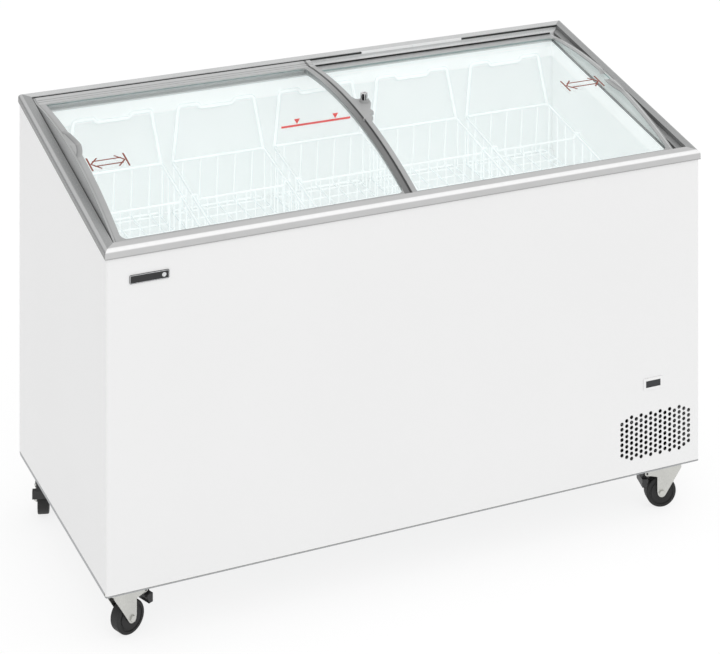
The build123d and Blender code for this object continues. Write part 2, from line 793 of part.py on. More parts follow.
with BuildPart() as basket_form:
    for x in (-107.5, 104.5):                   # left and right sides
        with BuildSketch(at_x(x)):
            for outline in side_outlines:
                Polygon(*outline, align=None)
        extrude(amount=wire)
    with BuildSketch(floor_plane):
        with GridLocations(1, 40, 1, 14):
            Rectangle(cross_length, wire)
        with GridLocations(*wire_grid):
            Rectangle(wire, 526)
    extrude(amount=wire / 2, both=True)
    with BuildSketch(at_y(-261)):               # low front
        with Locations((0, ground + 490.8)):
            Rectangle(cross_length, 5)
        with Locations((0, ground + 475)):
            with GridLocations(*wire_grid):
                Rectangle(wire, 34)
    extrude(amount=4)
    with BuildSketch(rear_plane):
        with Locations((0, 111)):
            Rectangle(cross_length, 5)
        with Locations((0, 55)):
            with GridLocations(*wire_grid):
                Rectangle(wire, 112)
    extrude(amount=wire / 2, both=True)
    with BuildSketch(loop_plane):               # tapered loop standing on the rear rim
        Polygon((-107.5, 0), (107.5, 0), (88.5, 116), (-88.5, 116), align=None)
        Polygon((-97, 3), (97, 3), (79.5, 107), (-79.5, 107), align=None, mode=Mode.SUBTRACT)
        with Locations((0, 103.5)):
            Rectangle(82, 9)
        with Locations((0, 113)):
            Rectangle(66, 8, mode=Mode.SUBTRACT)
    extrude(amount=2, both=True)

divider_y, divider_thickness = 105.0, 4
# Hook over the basket side: distance from the basket's middle, height over ground
hook = [(97, 558), (97, 572.6), (111, 572.6), (111, 569.6), (101, 569.6), (101, 558)]
with BuildPart() as divider_form:
    with BuildSketch(at_y(divider_y + divider_thickness / 2)):
        with Locations((0, ground + 526)):
            with GridLocations(21.5, 1, 10, 1):
                Rectangle(2.5, 72)
        with Locations((0, ground + 560)):
            Rectangle(202, 4)
        with Locations((0, ground + 492)):
            Rectangle(202, 3)
        for side in (-1, 1):
            Polygon(*[(side * x, ground + z) for x, z in hook], align=None)
    extrude(amount=divider_thickness)

for i, x in enumerate(basket_x, start=1):
    save_copy(basket_form.part, f"basket_{i}", Location((x, 0, 0)))
    save_copy(divider_form.part, f"divider_{i}", Location((x, 0, 0)))

# ---------------------------------------------------------------- braked swivel casters
# Built with the swivel axis on Z and the wheel trailing towards +X
wheel_radius = 32.5
axle = (26.0, wheel_radius)         # x is the caster trail
axle_radius = 4
hub_radius = 9
pedal_pivot = (58, 75)
# Side outlines, x and z
fork_cheek = [(-15, 89), (-17, 84), (18.2, 28), (34, 28), (36, 36), (36, 67), (50, 70),
              (58, 70), (58, 80), (48, 81), (38, 84), (30, 89)]
pedal_arm = [(46, 72), (52, 81), (64, 80), (70, 66), (70, 50), (61, 49), (60, 56),
             (57, 63), (52, 68)]
pedal_pad = [(57, 63), (58.5, 67), (70.5, 67), (70.5, 50), (61, 49), (60, 56)]

with BuildPart() as mount_form:
    with BuildSketch(at_z(ground - 3)):         # top plate
        RectangleRounded(56, 56, 6)
        with GridLocations(bolt_pitch, bolt_pitch, 2, 2):
            Circle(bolt_hole_radius, mode=Mode.SUBTRACT)
    extrude(amount=3)
    # Stacked discs on the swivel axis: depth below ground, radius, height
    for depth, radius, height in ((8, 20, 5), (16, 6, 8), (17, 9, 2.9)):
        with BuildSketch(at_z(ground - depth)):
            Circle(radius)
        extrude(amount=height)

with BuildPart() as fork_form:
    with BuildSketch(at_z(ground - 14)):        # crown
        with Locations((6, 0)):
            RectangleRounded(48, 33, 5)
    extrude(amount=3)
    with BuildSketch(at_z(ground - 12)):
        Circle(21)
    extrude(amount=3.9)
    for y in (-14, 16.5):                       # cheeks
        with BuildSketch(at_y(y)):
            Polygon(*fork_cheek, align=None)
            with Locations(axle):
                Circle(9)
            with Locations(pedal_pivot):
                Circle(5)
                Circle(2.08, mode=Mode.SUBTRACT)
        extrude(amount=2.5)
    with BuildSketch(at_y(19)):                 # axle
        with Locations(axle):
            Circle(axle_radius)
    extrude(amount=38)
    for y in (-16.4, 20):                       # axle nuts
        with BuildSketch(at_y(y)):
            with Locations(axle):
                RegularPolygon(6.5, 6)
        extrude(amount=3.6)
    with BuildSketch(at_z(ground - 20)):        # swivel bore
        Circle(6.05)
    extrude(amount=14, mode=Mode.SUBTRACT)

with BuildPart() as wheel_form:
    with BuildSketch(at_y(12)):
        with Locations(axle):
            Circle(wheel_radius)
    extrude(amount=24)
    fillet(edges().filter_by(GeomType.CIRCLE), radius=3)
    for y in (-10.6, 13):                       # ring grooves in both faces
        with BuildSketch(at_y(y)):
            with Locations(axle):
                Circle(26)
                Circle(22, mode=Mode.SUBTRACT)
        extrude(amount=2.4, mode=Mode.SUBTRACT)
    with BuildSketch(at_y(13.5)):
        with Locations(axle):
            Circle(hub_radius)
    extrude(amount=27)
    with BuildSketch(at_y(20)):
        with Locations(axle):
            Circle(axle_radius + 0.05)
    extrude(amount=40, mode=Mode.SUBTRACT)

with BuildPart() as pedal_form:
    with BuildSketch(at_y(13.6)):
        Polygon(*pedal_arm, align=None)
    extrude(amount=27.2)
    with BuildSketch(at_y(22)):
        Polygon(*pedal_pad, align=None)
    extrude(amount=44)
    with BuildSketch(at_y(17.5)):               # pivot pin
        with Locations(pedal_pivot):
            Circle(2.0)
    extrude(amount=35)

for corner, (x, y, yaw) in casters.items():
    save_copy(mount_form.part, f"caster_mount_{corner}", Location((x, y, 0)))
    swivelled = Location((x, y, 0), (0, 0, yaw))
    save_copy(fork_form.part, f"caster_fork_{corner}", swivelled)
    save_copy(wheel_form.part, f"caster_wheel_{corner}", swivelled)
    save_copy(pedal_form.part, f"brake_pedal_{corner}", swivelled)

with BuildPart() as caster_bolts:
    with BuildSketch(at_z(ground - 3.05)):      # heads
        with Locations(*bolt_xy):
            RegularPolygon(6.5, 6)
    extrude(amount=-3.8)
    with BuildSketch(at_z(ground - 4)):         # shanks
        with Locations(*bolt_xy):
            Circle(bolt_radius)
    extrude(amount=13)
save(caster_bolts.part, "caster_bolts")
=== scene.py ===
import bpy, bmesh, math
from mathutils import Vector, Matrix


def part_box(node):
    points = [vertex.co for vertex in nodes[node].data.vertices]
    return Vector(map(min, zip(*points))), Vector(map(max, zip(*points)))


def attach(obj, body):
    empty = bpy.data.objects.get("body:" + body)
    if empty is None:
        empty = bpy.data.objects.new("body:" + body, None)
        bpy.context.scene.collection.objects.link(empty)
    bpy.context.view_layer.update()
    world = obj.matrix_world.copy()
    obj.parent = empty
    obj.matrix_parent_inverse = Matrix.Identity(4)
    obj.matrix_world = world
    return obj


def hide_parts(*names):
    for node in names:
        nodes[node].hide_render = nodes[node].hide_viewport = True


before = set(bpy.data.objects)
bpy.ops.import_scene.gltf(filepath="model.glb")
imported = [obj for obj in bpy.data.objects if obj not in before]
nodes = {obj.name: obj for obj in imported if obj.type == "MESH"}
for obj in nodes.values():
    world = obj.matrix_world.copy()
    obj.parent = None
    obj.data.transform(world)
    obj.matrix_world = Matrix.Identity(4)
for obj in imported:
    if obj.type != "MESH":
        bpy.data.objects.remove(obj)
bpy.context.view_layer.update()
G = 0.100
T = math.tan(math.radians(10.0))
CASTERS = ("front_left", "front_right", "rear_left", "rear_right")


def zt(y, h=0.0):
    return G + 0.711 + T * y + h


def arch(a, b, c):
    (ax, ay), (bx, by), (cx, cy) = a, b, c
    d = 2 * (ax * (by - cy) + bx * (cy - ay) + cx * (ay - by))
    ux = ((ax**2 + ay**2) * (by - cy) + (bx**2 + by**2) * (cy - ay) + (cx**2 + cy**2) * (ay - by)) / d
    uy = ((ax**2 + ay**2) * (cx - bx) + (bx**2 + by**2) * (ax - cx) + (cx**2 + cy**2) * (bx - ax)) / d
    r = math.hypot(ax - ux, ay - uy)
    return lambda y: uy + math.sqrt(r * r - (y - ux) ** 2)


zU = arch((-0.286, zt(-0.286, -0.002)), (-0.008, zt(-0.008, 0.030)), (0.262, zt(0.262, -0.002)))
zL = arch((-0.268, zt(-0.268, -0.015)), (0.0, zt(0.0, 0.017)), (0.268, zt(0.268, -0.015)))


# ------------------------------------------------------------------ materials
class Nodes:
    """Small helper that wires shader nodes."""

    def __init__(self, name):
        self.m = bpy.data.materials.new(name)
        self.m.use_nodes = True
        self.t = self.m.node_tree
        self.t.nodes.clear()
        self.out = self.t.nodes.new("ShaderNodeOutputMaterial")
        self.tc = self.t.nodes.new("ShaderNodeTexCoord")

    def new(self, kind, **props):
        n = self.t.nodes.new(kind)
        for k, v in props.items():
            setattr(n, k, v)
        return n

    def link(self, a, b):
        self.t.links.new(a, b)

    def noise(self, scale, detail=3.0, rough=0.5, vec=None, stretch=None):
        n = self.new("ShaderNodeTexNoise")
        n.inputs["Scale"].default_value = scale
        n.inputs["Detail"].default_value = detail
        n.inputs["Roughness"].default_value = rough
        src = vec or self.tc.outputs["Object"]
        if stretch:
            mp = self.new("ShaderNodeMapping")
            mp.inputs["Scale"].default_value = stretch
            self.link(src, mp.inputs["Vector"])
            src = mp.outputs["Vector"]
        self.link(src, n.inputs["Vector"])
        return n.outputs["Fac"]

    def ramp(self, fac, stops):
        r = self.new("ShaderNodeValToRGB")
        el = r.color_ramp.elements
        el[0].position, el[0].color = stops[0][0], (*stops[0][1], 1)
        el[1].position, el[1].color = stops[-1][0], (*stops[-1][1], 1)
        for p, c in stops[1:-1]:
            e = el.new(p)
            e.color = (*c, 1)
        self.link(fac, r.inputs["Fac"])
        return r.outputs["Color"]

    def remap(self, fac, a, b, lo=0.3, hi=0.7):
        r = self.new("ShaderNodeMapRange")
        r.inputs["From Min"].default_value = lo
        r.inputs["From Max"].default_value = hi
        r.inputs["To Min"].default_value = a
        r.inputs["To Max"].default_value = b
        self.link(fac, r.inputs["Value"])
        return r.outputs["Result"]

    def math(self, op, a, b=0.0):
        n = self.new("ShaderNodeMath", operation=op)
        for i, v in enumerate((a, b)):
            if hasattr(v, "links"):
                self.link(v, n.inputs[i])
            else:
                n.inputs[i].default_value = v
        return n.outputs[0]

    def mixcol(self, fac, a, b):
        n = self.new("ShaderNodeMix", data_type="RGBA")
        for k, v in ((0, fac), (6, a), (7, b)):
            if hasattr(v, "links"):
                self.link(v, n.inputs[k])
            else:
                n.inputs[k].default_value = v if k == 0 else (*v, 1)
        return n.outputs[2]

    def bump(self, fac, strength, dist, bevel=0.0):
        b = self.new("ShaderNodeBump")
        b.inputs["Strength"].default_value = strength
        b.inputs["Distance"].default_value = dist
        self.link(fac, b.inputs["Height"])
        if bevel:
            v = self.new("ShaderNodeBevel", samples=4)
            v.inputs["Radius"].default_value = bevel
            self.link(v.outputs["Normal"], b.inputs["Normal"])
        return b.outputs["Normal"]

    def done(self, shader):
        self.link(shader, self.out.inputs["Surface"])
        return self.m


def dark(c, k):
    return tuple(max(0.0, min(1.0, x * k)) for x in c)


def painted(name, col, rough=0.35, vary=0.03, peel=0.06, bevel=0.0, metallic=0.0, painted_glow=0.0, spec=0.5, scale=6.0, grain=420.0, ao_shade=0.0, painted_highlight=0.0, highlight_normal=(0.0, -0.743, 0.669), shade=None, mask=None):
    """Paint or moulded plastic: slow tone drift, fine surface texture, softened edges, optional painted shade in the
    corners (ambient occlusion), a painted highlight band, painted shade on faces turned one way, and painted light as
    emission.
    """
    n = Nodes(name)
    p = n.new("ShaderNodeBsdfPrincipled")
    slow = n.noise(scale, 4.0)
    fine = n.noise(grain, 2.0)
    col_out = n.ramp(slow, [(0.3, dark(col, 1 - vary)), (0.5, col), (0.7, dark(col, 1 + vary))])
    # Painted shade: the colour darkens toward a dark copy where ambient occlusion finds corners and recesses, broken up
    # by noise.
    if ao_shade:
        ao = n.new("ShaderNodeAmbientOcclusion", samples=4)
        ao.inputs["Distance"].default_value = 0.02
        f = n.math("MULTIPLY", n.remap(ao.outputs["AO"], ao_shade, 0.0, 0.2, 0.9), n.remap(n.noise(60.0, 4.0), 0.5, 1.0))
        col_out = n.mixcol(f, col_out, dark(col, 0.45))
    # Painted highlight: a near-white band where the surface normal turns toward the given direction.
    if painted_highlight:
        geo = n.new("ShaderNodeNewGeometry")
        along = n.new("ShaderNodeVectorMath", operation="DOT_PRODUCT")
        along.inputs[1].default_value = highlight_normal
        n.link(geo.outputs["Normal"], along.inputs[0])
        painted_light_band = n.math("MULTIPLY", n.remap(along.outputs["Value"], 0.0, 1.0, 0.89, 0.965), n.remap(n.noise(90.0, 3.0), painted_highlight * 0.92, painted_highlight))
        col_out = n.mixcol(painted_light_band, col_out, (0.97, 0.97, 0.97))
    if shade:
        geo = n.new("ShaderNodeNewGeometry")
        toward = n.new("ShaderNodeVectorMath", operation="DOT_PRODUCT")
        toward.inputs[1].default_value = shade[0]
        n.link(geo.outputs["Normal"], toward.inputs[0])
        col_out = n.mixcol(n.remap(toward.outputs["Value"], 0.0, shade[1], 0.75, 0.97), col_out, (0.02, 0.02, 0.02))
    if mask:
        col_out = mask(n, col_out)
    n.link(col_out, p.inputs["Base Color"])
    n.link(n.remap(fine, rough * 0.85, rough * 1.15), p.inputs["Roughness"])
    p.inputs["Metallic"].default_value = metallic
    p.inputs["Specular IOR Level"].default_value = spec
    n.link(n.bump(fine, peel, 0.0002, bevel), p.inputs["Normal"])
    # Painted light: emission in the surface colour makes the part brighter than its lamps light it.
    if painted_glow:
        n.link(col_out, p.inputs["Emission Color"])
        p.inputs["Emission Strength"].default_value = painted_glow
    return n.done(p.outputs[0])


def brushed(name, col, rough=0.3, stretch=(1, 1, 40), bevel=0.0004):
    n = Nodes(name)
    p = n.new("ShaderNodeBsdfPrincipled")
    p.inputs["Metallic"].default_value = 1.0
    lines = n.noise(220.0, 3.0, 0.6, stretch=stretch)
    spots = n.noise(35.0, 4.0)
    n.link(n.mixcol(n.remap(spots, 0.0, 0.5), n.ramp(lines, [(0.3, dark(col, 0.85)), (0.7, col)]), dark(col, 0.8)), p.inputs["Base Color"])
    n.link(n.remap(lines, rough * 0.75, rough * 1.3), p.inputs["Roughness"])
    n.link(n.bump(lines, 0.08, 0.0002, bevel), p.inputs["Normal"])
    return n.done(p.outputs[0])


def chrome(name):
    n = Nodes(name)
    p = n.new("ShaderNodeBsdfPrincipled")
    p.inputs["Metallic"].default_value = 1.0
    # Painted reflection: the base colour is banded dark and bright along the reflection direction, standing in for
    # studio cards mirrored in the chrome.
    sep = n.new("ShaderNodeSeparateXYZ")
    n.link(n.tc.outputs["Reflection"], sep.inputs[0])
    painted_light_band = n.math("ADD", n.math("MULTIPLY", sep.outputs[0], 2.1), n.math("MULTIPLY", sep.outputs[1], 1.3))
    reflection_bands = n.math("SINE", n.math("MULTIPLY", painted_light_band, 3.4))
    col = n.ramp(n.remap(reflection_bands, 0, 1, -1, 1), [(0.15, (0.03, 0.03, 0.03)), (0.45, (0.18, 0.18, 0.18)), (0.62, (0.9, 0.9, 0.9)), (1.0, (0.95, 0.95, 0.95))])
    n.link(col, p.inputs["Base Color"])
    micro = n.noise(900.0, 2.0)
    n.link(n.remap(micro, 0.05, 0.13), p.inputs["Roughness"])
    n.link(n.bump(micro, 0.03, 0.0001, 0.0004), p.inputs["Normal"])
    return n.done(p.outputs[0])


def wire_coat(name, col):
    """Powder coat on round wire, with painted light: bright along the middle, painted cooler and darker shade at the
    rim, plus emission.
    """
    n = Nodes(name)
    p = n.new("ShaderNodeBsdfPrincipled")
    lw = n.new("ShaderNodeLayerWeight")
    lw.inputs["Blend"].default_value = 0.35
    fine = n.noise(1200.0, 2.0)
    slow = n.ramp(n.noise(30.0, 4.0), [(0.3, dark(col, 0.97)), (0.7, dark(col, 1.03))])
    # Painted shade: the rim turns toward a cool dark grey by facing angle.
    rim = n.remap(lw.outputs["Facing"], 0.0, 0.9, 0.25, 0.85)
    c = n.mixcol(rim, slow, (0.30, 0.36, 0.38))
    n.link(c, p.inputs["Base Color"])
    n.link(n.remap(fine, 0.3, 0.42), p.inputs["Roughness"])
    n.link(n.bump(fine, 0.12, 0.0002), p.inputs["Normal"])
    # Painted light: emission in the wire colour.
    n.link(c, p.inputs["Emission Color"])
    p.inputs["Emission Strength"].default_value = 0.29
    return n.done(p.outputs[0])


def painted_grip_and_stile_shade(cx, cy, stile):
    """Painted shade on the finger grip (a shallow D) and, on the upper lid, painted shade in the channelled centre
    stile.
    """
    def build(n, col):
        sep = n.new("ShaderNodeSeparateXYZ")
        n.link(n.tc.outputs["Object"], sep.inputs[0])
        x, y = sep.outputs[0], sep.outputs[1]
        dx, dy = n.math("SUBTRACT", x, cx), n.math("SUBTRACT", y, cy)
        r = n.math("SQRT", n.math("ADD", n.math("MULTIPLY", dx, dx), n.math("MULTIPLY", dy, dy)))
        # Painted shade in the grip's scoop: a dark arc that fades away across the D.
        grip = n.ramp(n.remap(r, 0.0, 1.0, 0.110, 0.131), [(0.0, (0, 0, 0)), (0.36, (0, 0, 0)), (0.42, (0.62, 0.62, 0.62)), (0.55, (0.30, 0.30, 0.30)), (0.93, (0.05, 0.05, 0.05))])
        near = n.math("LESS_THAN", n.math("ABSOLUTE", dy), 0.058)
        inside = n.math("LESS_THAN", r, 0.1312)
        col = n.mixcol(n.math("MULTIPLY", n.math("MULTIPLY", near, inside), grip), col, (0.05, 0.05, 0.05))
        col = n.mixcol(n.remap(y, 0.0, 0.75, 0.250, 0.256), col, (0.56, 0.565, 0.565))
        wall = n.math("MULTIPLY", n.math("GREATER_THAN", x, 0.6090), n.math("LESS_THAN", x, 0.6100))
        col = n.mixcol(n.math("MULTIPLY", wall, 0.9), col, (0.78, 0.81, 0.80))
        if stile:
            # Painted shade in the stile's channel: darker toward the front, and darkest in its narrow inner slot.
            strip = n.math("MULTIPLY", n.math("GREATER_THAN", x, -0.0220), n.math("LESS_THAN", x, -0.0048))
            deep = n.math("GREATER_THAN", x, -0.0103)
            stile_shade = n.remap(y, 0.62, 0.10, -0.06, 0.20)
            groove_shade = n.remap(y, 0.93, 0.70, -0.06, 0.20)
            k = n.math("ADD", n.math("MULTIPLY", stile_shade, n.math("SUBTRACT", 1.0, deep)), n.math("MULTIPLY", groove_shade, deep))
            col = n.mixcol(n.math("MULTIPLY", strip, k), col, (0.02, 0.02, 0.02))
        return col
    return build


def inner_rail(n, col):
    """The channels inside the rear rail catch the light from the white tub."""
    sep = n.new("ShaderNodeSeparateXYZ")
    n.link(n.tc.outputs["Object"], sep.inputs[0])
    return n.mixcol(n.remap(sep.outputs[1], 0.85, 0.0, 0.2902, 0.2908), col, (0.62, 0.63, 0.63))


def lip_line(n, col):
    """Darker line along the lower edge of the rail's lip."""
    sep = n.new("ShaderNodeSeparateXYZ")
    n.link(n.tc.outputs["Object"], sep.inputs[0])
    h = n.math("SUBTRACT", n.math("SUBTRACT", sep.outputs[2], G + 0.711), n.math("MULTIPLY", sep.outputs[1], T))
    return n.mixcol(n.remap(h, 0.45, 0.0, -0.0178, -0.0160), col, (0.05, 0.05, 0.05))


def rubber(name, col=(0.018, 0.018, 0.018), rough=0.6):
    return painted(name, col, rough, 0.25, 0.35, 0.0006, spec=0.35, scale=40.0, grain=900.0, ao_shade=0.25)


def clear_glass(name):
    """Thin clear sheet: near invisible face on, blue-green on its cut edges."""
    n = Nodes(name)
    geo = n.new("ShaderNodeNewGeometry")
    sep = n.new("ShaderNodeSeparateXYZ")
    n.link(geo.outputs["True Normal"], sep.inputs[0])
    edge = n.remap(n.math("ABSOLUTE", sep.outputs[2]), 1.0, 0.0, 0.15, 0.5)
    smear = n.noise(9.0, 5.0, 0.6)
    tint = n.ramp(smear, [(0.3, (0.985, 0.995, 0.994)), (0.7, (0.993, 1.0, 0.999))])
    tr = n.new("ShaderNodeBsdfTransparent")
    n.link(n.mixcol(edge, tint, (0.74, 0.85, 0.84)), tr.inputs[0])
    gl = n.new("ShaderNodeBsdfGlossy")
    gl.inputs["Color"].default_value = (0.9, 0.95, 0.95, 1)
    n.link(n.remap(smear, 0.02, 0.06), gl.inputs["Roughness"])
    fr = n.new("ShaderNodeFresnel")
    fr.inputs["IOR"].default_value = 1.45
    mix = n.new("ShaderNodeMixShader")
    n.link(n.math("MULTIPLY", fr.outputs[0], 0.10), mix.inputs[0])
    n.link(tr.outputs[0], mix.inputs[1])
    n.link(gl.outputs[0], mix.inputs[2])
    df = n.new("ShaderNodeBsdfDiffuse")
    df.inputs[0].default_value = (0.62, 0.72, 0.71, 1)
    mix2 = n.new("ShaderNodeMixShader")
    n.link(n.math("MULTIPLY", edge, 0.45), mix2.inputs[0])
    n.link(mix.outputs[0], mix2.inputs[1])
    n.link(df.outputs[0], mix2.inputs[2])
    return n.done(mix2.outputs[0])


M = {
    "shell": painted("paint_white_shell", (0.82, 0.82, 0.82), 0.34, 0.008, 0.05, 0.0012, scale=2.5, grain=650.0),
    "rear": painted("paint_white_rear", (0.80, 0.80, 0.80), 0.42, 0.02, 0.08, 0.0008, scale=4.0, ao_shade=0.2),
    "pan": brushed("galvanised_pan", (0.46, 0.47, 0.48), 0.45, (1, 14, 1)),
    "foam": painted("foam_pu", (0.86, 0.77, 0.50), 0.85, 0.08, 0.8, 0, grain=260.0, spec=0.2),
    # Liner and collar: painted light from emission keeps the white tub bright inside.
    "liner": painted("paint_liner", (0.848, 0.864, 0.862), 0.38, 0.012, 0.05, 0.003, painted_glow=0.185, scale=3.0, ao_shade=0.10),
    "collar": painted("paint_collar", (0.865, 0.88, 0.878), 0.34, 0.01, 0.04, 0.001, painted_glow=0.25),
    # One grey profile in lit and shaded copies: the side rails are painted darker, with painted shade on their outward
    # faces and a painted highlight on the outer edge; the front rail is painted lighter with a painted highlight on its
    # nose; the rear rail is painted lighter and given emission.
    "rail": painted("profile_grey_side_shaded", (0.31, 0.315, 0.315), 0.26, 0.05, 0.08, 0.0, scale=14.0, grain=800.0, ao_shade=0.25, painted_highlight=0.30, highlight_normal=(-0.62, -0.13, 0.77), shade=((-1.0, 0.0, 0.0), 0.42)),
    "rail_f": painted("profile_grey_front_lit", (0.52, 0.52, 0.52), 0.24, 0.03, 0.08, 0.0, scale=14.0, grain=800.0, ao_shade=0.15, painted_highlight=0.88, mask=lip_line),
    "rail_r": painted("profile_grey_rear_lit", (0.50, 0.505, 0.505), 0.28, 0.05, 0.08, 0.0, scale=14.0, grain=800.0, ao_shade=0.08, painted_glow=0.15, mask=inner_rail),
    "lid": painted("profile_lid_grey", (0.40, 0.405, 0.405), 0.33, 0.05, 0.10, 0.0008, scale=14.0, grain=800.0, ao_shade=0.45),
    "lid_u": painted("profile_lid_upper", (0.40, 0.405, 0.405), 0.33, 0.05, 0.10, 0.0, scale=14.0, grain=800.0, ao_shade=0.35, mask=painted_grip_and_stile_shade(-0.731, 0.028, True)),
    "lid_l": painted("profile_lid_lower", (0.40, 0.405, 0.405), 0.33, 0.05, 0.10, 0.0, scale=14.0, grain=800.0, ao_shade=0.35, mask=painted_grip_and_stile_shade(0.7215, -0.016, False)),
    "seal": rubber("seal_black"),
    "insert": painted("insert_white", (0.86, 0.86, 0.86), 0.3, 0.02, 0.03, 0.0005),
    "badge": painted("badge_black", (0.012, 0.012, 0.013), 0.22, 0.2, 0.05, 0.0004),
    "silver": brushed("trim_silver", (0.78, 0.79, 0.80), 0.25, (1, 1, 1), 0),
    "bezel": painted("bezel_light", (0.84, 0.84, 0.84), 0.30, 0.02, 0.05, 0.0008),
    "window": painted("window_dark", (0.02, 0.022, 0.025), 0.08, 0.1, 0.0, 0.0004),
    "sheet": brushed("sheet_zinc", (0.6, 0.6, 0.6), 0.4, (1, 1, 12)),
    "comp": painted("compressor_black", (0.02, 0.02, 0.022), 0.35, 0.2, 0.15, 0.002),
    "fins": brushed("fins_aluminium", (0.72, 0.73, 0.74), 0.35, (30, 1, 1)),
    "fan": painted("fan_black", (0.035, 0.035, 0.037), 0.45, 0.15, 0.15, 0.001),
    "box": painted("box_grey", (0.45, 0.45, 0.46), 0.4, 0.05, 0.1, 0.001),
    "cord": rubber("cord_black", (0.02, 0.02, 0.02), 0.5),
    "coil": brushed("copper_tube", (0.72, 0.38, 0.24), 0.3, (1, 1, 1)),
    "tube": painted("drain_grey", (0.62, 0.63, 0.64), 0.4, 0.04, 0.1, 0.001),
    "glass": clear_glass("glass_clear"),
    "chrome": chrome("lock_chrome"),
    "wire": wire_coat("wire_powder_coat", (0.86, 0.885, 0.885)),
    "zinc": brushed("zinc_plate", (0.66, 0.66, 0.63), 0.33, (6, 6, 1)),
    "tyre": rubber("tyre_black"),
    "pedal": painted("pedal_black", (0.022, 0.022, 0.023), 0.42, 0.2, 0.3, 0.001, grain=700.0, ao_shade=0.3),
    "brown": painted("print_brown", (0.26, 0.055, 0.03), 0.5, 0.12, 0.05, 0, grain=900.0),
    # The red print: a little painted light from emission.
    "red": painted("print_red", (0.72, 0.025, 0.015), 0.45, 0.1, 0.05, 0, grain=900.0, painted_glow=0.15),
    "brush": painted("brush_pile", (0.10, 0.10, 0.10), 0.8, 0.3, 0.8, 0, grain=1500.0),
}

ASSIGN = {
    "outer_shell": "shell", "rear_panel": "rear", "base_pan": "pan", "foam_core": "foam", "inner_liner": "liner",
    "breaker_collar": "collar", "rail_front": "rail_f", "rail_rear": "rail_r", "rail_left": "rail", "rail_right": "rail",
    "arch_end_cap": "lid", "track_seals": "seal", "rear_insert": "insert", "badge_plate": "badge",
    "display_bezel": "bezel", "display_window": "window", "machine_partition": "sheet", "compressor": "comp",
    "condenser": "fins", "fan_shroud": "fan", "fan_rotor": "fan", "control_box": "box", "power_cord": "cord",
    "evaporator_coil": "coil", "drain_tube": "tube", "drain_plug": "tube", "upper_lid_frame": "lid_u",
    "upper_lid_glass": "glass", "lower_lid_frame": "lid_l", "lower_lid_glass": "glass", "lock_housing": "lid",
    "lock_barrel": "chrome", "lock_plug": "chrome", "caster_bolts": "zinc",
}
for i in range(1, 6):
    ASSIGN[f"basket_{i}"] = "wire"
    ASSIGN[f"divider_{i}"] = "wire"
for k in CASTERS:
    ASSIGN[f"caster_mount_{k}"] = "zinc"
    ASSIGN[f"caster_fork_{k}"] = "zinc"
    ASSIGN[f"caster_wheel_{k}"] = "tyre"
    ASSIGN[f"brake_pedal_{k}"] = "pedal"
for name, key in ASSIGN.items():
    ob = nodes[name]
    ob.data.materials.clear()
    ob.data.materials.append(M[key])
    ob.data.shade_smooth()
    ob.data.set_sharp_from_angle(angle=math.radians(32))


# ------------------------------------------------------------------ mesh helpers
def put(name, mesh, material, body, smooth=True):
    ob = bpy.data.objects.new(name, mesh)
    bpy.context.scene.collection.objects.link(ob)
    mesh.materials.clear()
    mesh.materials.append(material)
    if smooth:
        mesh.shade_smooth()
        mesh.set_sharp_from_angle(angle=math.radians(35))
    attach(ob, body)
    return ob


def fillet_path(pts, r, closed=False, seg=4):
    """Polyline with its corners rounded by arcs of about radius r."""
    pts = [Vector(p) for p in pts]
    n = len(pts)
    out = []
    for i, p in enumerate(pts):
        if not closed and i in (0, n - 1):
            out.append(p)
            continue
        a, b = pts[i - 1] - p, pts[(i + 1) % n] - p
        ang = a.angle(b)
        if ang > math.radians(176):
            out.append(p)
            continue
        d = min(r / math.tan(ang / 2), a.length * 0.45, b.length * 0.45)
        s, e = p + a.normalized() * d, p + b.normalized() * d
        for k in range(seg + 1):
            t = k / seg
            out.append(s * (1 - t) ** 2 + p * 2 * t * (1 - t) + e * t * t)
    return out


def tube(bm, path, r, closed=False, sides=8):
    """Closed round tube along a path, capped at its ends."""
    n = len(path)
    tang = []
    for i in range(n):
        a = path[i - 1] if (closed or i) else path[i]
        b = path[(i + 1) % n] if (closed or i < n - 1) else path[i]
        tang.append((b - a).normalized())
    up = Vector((0, 0, 1)) if abs(tang[0].z) < 0.9 else Vector((1, 0, 0))
    nrm = (up - tang[0] * up.dot(tang[0])).normalized()
    rings = []
    for i in range(n):
        nrm = (nrm - tang[i] * nrm.dot(tang[i])).normalized()
        bi = tang[i].cross(nrm)
        rings.append([bm.verts.new(path[i] + (nrm * math.cos(2 * math.pi * k / sides) + bi * math.sin(2 * math.pi * k / sides)) * r) for k in range(sides)])
    last = n if closed else n - 1
    for i in range(last):
        A, B = rings[i], rings[(i + 1) % n]
        off = 0
        if closed and i == n - 1:
            off = min(range(sides), key=lambda o: sum((A[k].co - B[(k + o) % sides].co).length for k in range(sides)))
        for k in range(sides):
            bm.faces.new((A[k], A[(k + 1) % sides], B[(k + 1 + off) % sides], B[(k + off) % sides]))
    if not closed:
        bm.faces.new(list(reversed(rings[0])))
        bm.faces.new(rings[-1])


def to_mesh(bm, name):
    bmesh.ops.recalc_face_normals(bm, faces=bm.faces)
    me = bpy.data.meshes.new(name)
    bm.to_mesh(me)
    bm.free()
    return me


def prism(bm, poly, place):
    """Closed prism from a 2-D outline; place(u, v, side) gives the 3-D point."""
    lo = [bm.verts.new(place(u, v, 0)) for u, v in poly]
    hi = [bm.verts.new(place(u, v, 1)) for u, v in poly]
    bm.faces.new(list(reversed(lo)))
    bm.faces.new(hi)
    for i in range(len(poly)):
        j = (i + 1) % len(poly)
        bm.faces.new((lo[i], lo[j], hi[j], hi[i]))


# ------------------------------------------------------------------ baskets and dividers in round wire
def rim(y):
    return G + 0.594 + (y - 0.249) * 0.2008


def flr(y):
    return G + 0.484 + (y - 0.264) * 0.04943


def rear_y(z):
    """Lean of the rear grille: 249 at the rim, 264 at the floor."""
    return 0.264 - (z - (G + 0.484)) * (0.015 / 0.110)


